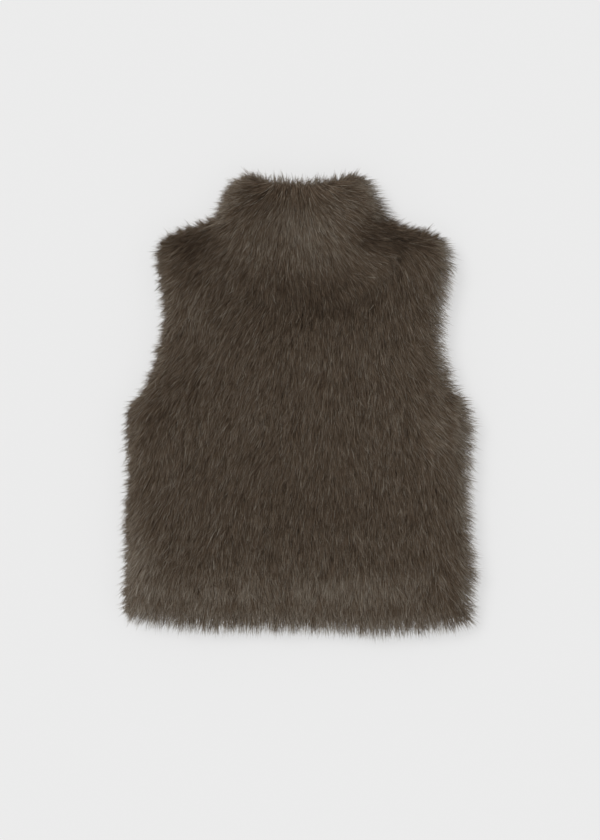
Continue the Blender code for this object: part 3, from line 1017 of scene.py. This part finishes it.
def grow_rim(rng, outline, flow, pile, g, light_and_shade_map):
    """Hairs that come out of the sides all round and hang along them, as grow gives them."""
    plan = outline.plan
    n = g.count
    rim = plan.points[np.abs(outline.edge) < CELL]
    roots = rim[rng.integers(len(rim), size=n)] + rng.uniform(-CELL, CELL, (n, 2)) / 2
    highest = plan.read(pile, roots) + ROOTS_OVER_RIM
    level = LOWEST_ROOT + (highest - LOWEST_ROOT) * rng.random(n) ** ROOTS_CROWD
    on_side = np.stack([roots.sum(1), level], axis=1)
    tuft_no = nearest_centre(on_side, g.tuft_pitch, TUFT_PLACE_SEED)[1]
    way, length, fall = hung(rng, outline, flow, roots, tuft_no, g)

    t = np.broadcast_to(HAIR_STEPS, (n, len(HAIR_STEPS)))
    z = np.maximum(level[:, None] - fall[:, None] * t**FALL_POWER, RIM_CLEARANCE)
    points = roots[:, None] + way[:, None] * (length[:, None] * t)[..., None]
    for _ in range(2):
        step = plan.read(outline.edge, points)[..., None]
        points = points + plan.read(outline.outward, points) * step
    offset = side_offsets(rng, plan.read(outline.soft, roots), tuft_no, z, t, g)
    outward = plan.read(outline.outward, points)
    line = np.concatenate([points + outward * offset[..., None], z[..., None]], axis=-1)
    up = np.concatenate([outward, RIM_LOOK_UP * np.ones_like(z)[..., None]], axis=-1)
    side, face = rolled(rng, line, unit(up), g.roll)
    half = half_widths(rng, n, g.width)
    half *= (RIM_LOW_WIDTH - (RIM_LOW_WIDTH - 1) * eased(level / RIM_LOW))[:, None]

    # Painted light and shade from the map, and painted shade towards the root.
    shade = g.tone + plan.read(light_and_shade_map, roots)
    shade += RIM_TUFT_TONE * (hashed(tuft_no, TUFT_TONE_SEED) - 0.5)
    shade += g.tone_spread * rng.standard_normal(n)
    return line, half, side, face, np.clip(shade[:, None] * tone_shares(g), 0, 1)


def woven(left, right, tip):
    """Values for the vertices of hairs, in the order left, right, left, right, tip."""
    pairs = np.stack([left[:, :-1], right[:, :-1]], axis=2)
    pairs = pairs.reshape((len(left), 2 * (left.shape[1] - 1)) + left.shape[2:])
    return np.concatenate([pairs, tip[:, None]], axis=1)


def strip_corners(n, rows):
    """The vertices of all triangles of n hairs: each has quads cut in two, then a point."""
    faces = []
    for k in range(rows - 2):
        a = 2 * k
        faces += [[a, a + 1, a + 3], [a, a + 3, a + 2]]
    last = 2 * (rows - 2)
    faces = np.array(faces + [[last, last + 1, last + 2]])
    per_hair = 2 * (rows - 1) + 1
    return (np.arange(n)[:, None, None] * per_hair + faces).reshape(-1)


def strip_mesh(name, line, half, side, face, tone):
    """One mesh of many hairs: each is a narrow strip that ends in a point."""
    across = side * half[..., None]
    points = woven(line - across, line + across, line[:, -1])
    points[..., 2] = np.maximum(points[..., 2], FLOOR_CLEARANCE)
    normals = woven(unit(face - BULGE * side), unit(face + BULGE * side), face[:, -1])
    tones = woven(tone, tone, tone[:, -1])
    left, right = hair_cells(tone.mean(1), half)
    places = woven(left, right, 0.5 * (left + right)[:, -1])
    index = strip_corners(*half.shape)
    triangles = len(index) // 3

    mesh = bpy.data.meshes.new(name)
    mesh.vertices.add(points.size // 3)
    mesh.vertices.foreach_set("co", (points.reshape(-1) * MM).astype(np.float32))
    mesh.loops.add(len(index))
    mesh.loops.foreach_set("vertex_index", index.astype(np.int32))
    mesh.polygons.add(triangles)
    mesh.polygons.foreach_set("loop_start", (np.arange(triangles) * 3).astype(np.int32))
    mesh.update(calc_edges=True)
    mesh.polygons.foreach_set("use_smooth", np.ones(triangles, bool))
    layer = mesh.attributes.new("hair_tone", "FLOAT", "POINT")
    layer.data.foreach_set("value", tones.reshape(-1).astype(np.float32))
    uv = mesh.uv_layers.new(name="OFBake")
    uv.data.foreach_set("uv", places.reshape(-1, 2)[index].reshape(-1).astype(np.float32))
    mesh.normals_split_custom_set_from_vertices(normals.reshape(-1, 3).tolist())
    made = bpy.data.objects.new(name, mesh)
    bpy.context.scene.collection.objects.link(made)
    return made


def hair_cells(shade, half):
    """Where each hair's two sides lie on a square map: a cell for each, like by like."""
    n = len(half)
    columns = max(1, round(math.sqrt(n / MAP_ASPECT)))
    cells_up = math.ceil(n / columns)
    place = np.empty(n, int)
    place[np.argsort(shade, kind="stable")] = np.arange(n)
    column, row = place // cells_up, place % cells_up
    along = MAP_MARGIN + (1 - 2 * MAP_MARGIN) * HAIR_STEPS
    u = (column[:, None] + along) / columns
    widest = MAP_FILL * half / half.max(axis=1, keepdims=True)
    low = (row[:, None] + 0.5 - widest) / cells_up
    high = (row[:, None] + 0.5 + widest) / cells_up
    return np.stack([u, low], axis=-1), np.stack([u, high], axis=-1)


def fill_ramp(ramp, colours):
    """Gives a new colour ramp its stops, from a table in order of place."""
    stops = ramp.color_ramp.elements
    for stop, (place, colour) in zip(stops, (colours[0], colours[-1])):
        stop.position = place
        stop.color = colour
    for place, colour in colours[1:-1]:
        stops.new(place).color = colour


def hair_material():
    """Dark grey-brown acrylic hair, paler and duller to the tip, with painted shade at the
    root.
    """
    made = bpy.data.materials.new("fur_hair")
    made.use_nodes = True
    nodes, links = made.node_tree.nodes, made.node_tree.links
    shader = nodes["Principled BSDF"]
    tone = nodes.new("ShaderNodeAttribute")
    tone.attribute_name = "hair_tone"
    ramp = nodes.new("ShaderNodeValToRGB")
    fill_ramp(ramp, HAIR_COLOURS)
    links.new(tone.outputs["Fac"], ramp.inputs["Fac"])
    links.new(ramp.outputs["Color"], shader.inputs["Base Color"])
    shader.inputs["Roughness"].default_value = 0.5
    shader.inputs["Specular IOR Level"].default_value = 0.22
    shader.inputs["Specular Tint"].default_value = (0.85, 0.72, 0.58, 1)
    return made


def shell_material():
    """The short dense fur under the hairs, seen only between them, darkened as painted shade.
    """
    made = bpy.data.materials.new("underfur_and_shade")
    made.use_nodes = True
    nodes, links = made.node_tree.nodes, made.node_tree.links
    shader = nodes["Principled BSDF"]
    place = nodes.new("ShaderNodeTexCoord")
    stretch = nodes.new("ShaderNodeMapping")
    stretch.inputs["Scale"].default_value = UNDERFUR_FIBRES
    fibre = nodes.new("ShaderNodeTexNoise")
    fibre.inputs["Scale"].default_value = 1.0
    fibre.inputs["Detail"].default_value = 4.0
    ramp = nodes.new("ShaderNodeValToRGB")
    fill_ramp(ramp, UNDERFUR_AND_SHADE_COLOURS)
    bump = nodes.new("ShaderNodeBump")
    bump.inputs["Strength"].default_value = 0.6
    bump.inputs["Distance"].default_value = 0.001
    links.new(place.outputs["Object"], stretch.inputs["Vector"])
    links.new(stretch.outputs["Vector"], fibre.inputs["Vector"])
    links.new(fibre.outputs["Fac"], ramp.inputs["Fac"])
    links.new(ramp.outputs["Color"], shader.inputs["Base Color"])
    links.new(fibre.outputs["Fac"], bump.inputs["Height"])
    links.new(bump.outputs["Normal"], shader.inputs["Normal"])
    shader.inputs["Roughness"].default_value = 0.9
    shader.inputs["Specular IOR Level"].default_value = 0.2
    return made


def make_shell(name, node, pelt, material):
    """A node's form, a pile's depth further in: thinner, and inset."""
    plan = pelt.plan
    still_z, share = SHELLS[node.name]
    mesh = node.data.copy()
    mesh.name = name
    made = bpy.data.objects.new(name, mesh)
    bpy.context.scene.collection.objects.link(made)
    points = np.empty(len(mesh.vertices) * 3, np.float32)
    mesh.vertices.foreach_get("co", points)
    points = points.reshape(-1, 3).astype(float) / MM
    flat = points[:, :2]
    near_edge = 1 - eased(plan.read(pelt.edge, flat) / SHELL_INSET_REACH)
    outward = unit(plan.read(pelt.outward, flat))
    inset = (SHELL_INSET + SHELL_SOFT_INSET * plan.read(pelt.soft, flat)) * near_edge
    points[:, :2] = flat - outward * inset[:, None]
    points[:, 2] = still_z + share * (points[:, 2] - still_z)
    mesh.vertices.foreach_set("co", (points.reshape(-1) * MM).astype(np.float32))
    mesh.update()
    mesh.materials.clear()
    mesh.materials.append(material)
    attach(made, "root")
    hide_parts(node.name)
    return made


def make_fur(name, hairs, material, parts=1):
    """Pieces of fur out of hairs, in so many parts by x."""
    order = np.argsort(hairs[0][:, 0, 0], kind="stable")
    made = []
    for k, chosen in enumerate(np.array_split(order, parts)):
        label = name if parts == 1 else f"{name}_{k + 1}"
        piece = strip_mesh(label, *(a[chosen] for a in hairs))
        piece.data.materials.append(material)
        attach(piece, "root")
        print(label, len(chosen), "hairs", len(piece.data.polygons), "triangles")
        made.append(piece)
    return made


def grown(coat, pelt, flow, allowed, groom, tones, seed):
    """Hairs rooted over the cells that allowed marks, which keep to the vest's outline."""
    rng = np.random.default_rng(seed)
    roots = scattered(rng, groom.count, coat.plan, allowed)
    return grow(rng, pelt, coat.whole, flow, roots, groom, tones)


def make_back_fur(coat, material):
    """The back's fur, which goes on a little under the collar's."""
    back, flow = coat.back, coat.back_flow
    allowed = (back.edge > ROOT_INSET) & (coat.collar.edge < UNDER_COLLAR)
    hairs = grown(coat, back, flow, allowed, BACK_GROOM, coat.tones, BACK_SEED)
    return make_fur("back_fur", hairs, material, parts=4)


def make_collar_fur(coat, material):
    """The fur on the collar's back half, a little longer than the back's."""
    collar, flow = coat.collar, coat.collar_flow
    allowed = collar.edge > ROOT_INSET
    hairs = grown(coat, collar, flow, allowed, COLLAR_GROOM, coat.tones, COLLAR_SEED)
    return make_fur("collar_fur", hairs, material)


def make_front_fur(coat, material, name):
    """The pressed fur on one front's underside and on the collar's beside it."""
    way, seed = FRONTS[name]
    under, flow = coat.under, coat.front_flow
    allowed = (under.edge > ROOT_INSET) & (coat.plan.points[..., 0] * way > 0)
    even = np.zeros(coat.plan.shape)
    hairs = grown(coat, under, flow, allowed, FRONT_GROOM, even, seed)
    return make_fur(f"{name}_fur", hairs, material)


def make_fringe(coat, material):
    """Fine hair that stands out past the outline all round."""
    outward = coat.whole.outward
    inward = np.minimum((coat.top_flow * outward).sum(-1, keepdims=True), 0)
    spread = unit(FRINGE_OUTWARD * outward + coat.top_flow - inward * outward)
    allowed = (coat.whole.edge > FRINGE_FROM) & (coat.whole.edge < FRINGE_TO)
    hairs = grown(coat, coat.back, spread, allowed, FRINGE_GROOM, coat.tones, FRINGE_SEED)
    return make_fur("fringe_fur", hairs, material)


def make_rim(coat, material):
    """The hair on the sides all round, from the top's edge down to the floor."""
    rng = np.random.default_rng(RIM_SEED)
    hairs = grow_rim(rng, coat.whole, coat.top_flow, coat.pile, RIM_GROOM, coat.tones)
    return make_fur("rim_fur", hairs, material)


def make_camera():
    """A long lens straight above, framed as the photograph is."""
    data = bpy.data.cameras.new("camera")
    data.lens = CAMERA_LENS_MM
    data.sensor_width = SENSOR_MM
    camera = bpy.data.objects.new("camera", data)
    bpy.context.scene.collection.objects.link(camera)
    half_height = PHOTO_HEIGHT_PX * MM_PER_PX / 2
    away = half_height / (SENSOR_MM / 2 / CAMERA_LENS_MM)
    centre_x = (PHOTO_WIDTH_PX / 2 - ORIGIN_PX[0]) * MM_PER_PX
    centre_y = (ORIGIN_PX[1] - PHOTO_HEIGHT_PX / 2) * MM_PER_PX
    camera.location = Vector((centre_x, centre_y, MIDDLE_Z + away)) * MM
    bpy.context.scene.camera = camera


def make_floor():
    """A pale matt floor that glows a little, so that only the vest's own shadow shows."""
    size = FLOOR_HALF_SIZE
    mesh = bpy.data.meshes.new("floor")
    mesh.from_pydata(
        [(-size, -size, 0), (size, -size, 0), (size, size, 0), (-size, size, 0)],
        [],
        [(0, 1, 2, 3)],
    )
    floor = bpy.data.objects.new("floor", mesh)
    floor.location.z = -FLOOR_DROP
    bpy.context.scene.collection.objects.link(floor)
    paper = bpy.data.materials.new("paper")
    paper.use_nodes = True
    shader = paper.node_tree.nodes["Principled BSDF"]
    shader.inputs["Base Color"].default_value = (FLOOR_GREY, FLOOR_GREY, FLOOR_GREY, 1)
    shader.inputs["Roughness"].default_value = 0.95
    shader.inputs["Specular IOR Level"].default_value = 0.0
    shader.inputs["Emission Color"].default_value = (1, 1, 1, 1)
    shader.inputs["Emission Strength"].default_value = FLOOR_GLOW
    mesh.materials.append(paper)


def make_light():
    """Soft even light from all round, and a soft key from the upper left."""
    world = bpy.data.worlds.new("studio")
    bpy.context.scene.world = world
    world.use_nodes = True
    sky = world.node_tree.nodes["Background"]
    sky.inputs["Color"].default_value = (1, 1, 1, 1)
    sky.inputs["Strength"].default_value = SKY_STRENGTH

    sun = bpy.data.lights.new("key", "SUN")
    sun.angle = math.radians(SUN_WIDTH_DEGREES)
    sun.energy = SUN_STRENGTH
    key = bpy.data.objects.new("key", sun)
    key.rotation_euler = Vector(SUN_WAY).to_track_quat("-Z", "Y").to_euler()
    bpy.context.scene.collection.objects.link(key)

    view = bpy.context.scene.view_settings
    view.view_transform = "Standard"
    view.look = "None"


def main():
    """Loads the frame and dresses it."""
    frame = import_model()
    cad_low, cad_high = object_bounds()
    nodes = frame["nodes"]
    make_camera()
    make_floor()
    make_light()

    coat = Coat(nodes, cad_low, cad_high)
    # The shells' dark colour is partly painted shade between the hairs.
    underfur_and_shade = shell_material()
    for name in SHELLS:
        make_shell(f"{name}_underfur", nodes[name], coat.whole, underfur_and_shade)
    hair = hair_material()
    fur = {"back": make_back_fur(coat, hair), "collar": make_collar_fur(coat, hair)}
    for name in FRONTS:
        fur[name] = make_front_fur(coat, hair, name)
    make_fringe(coat, hair)
    make_rim(coat, hair)


main()
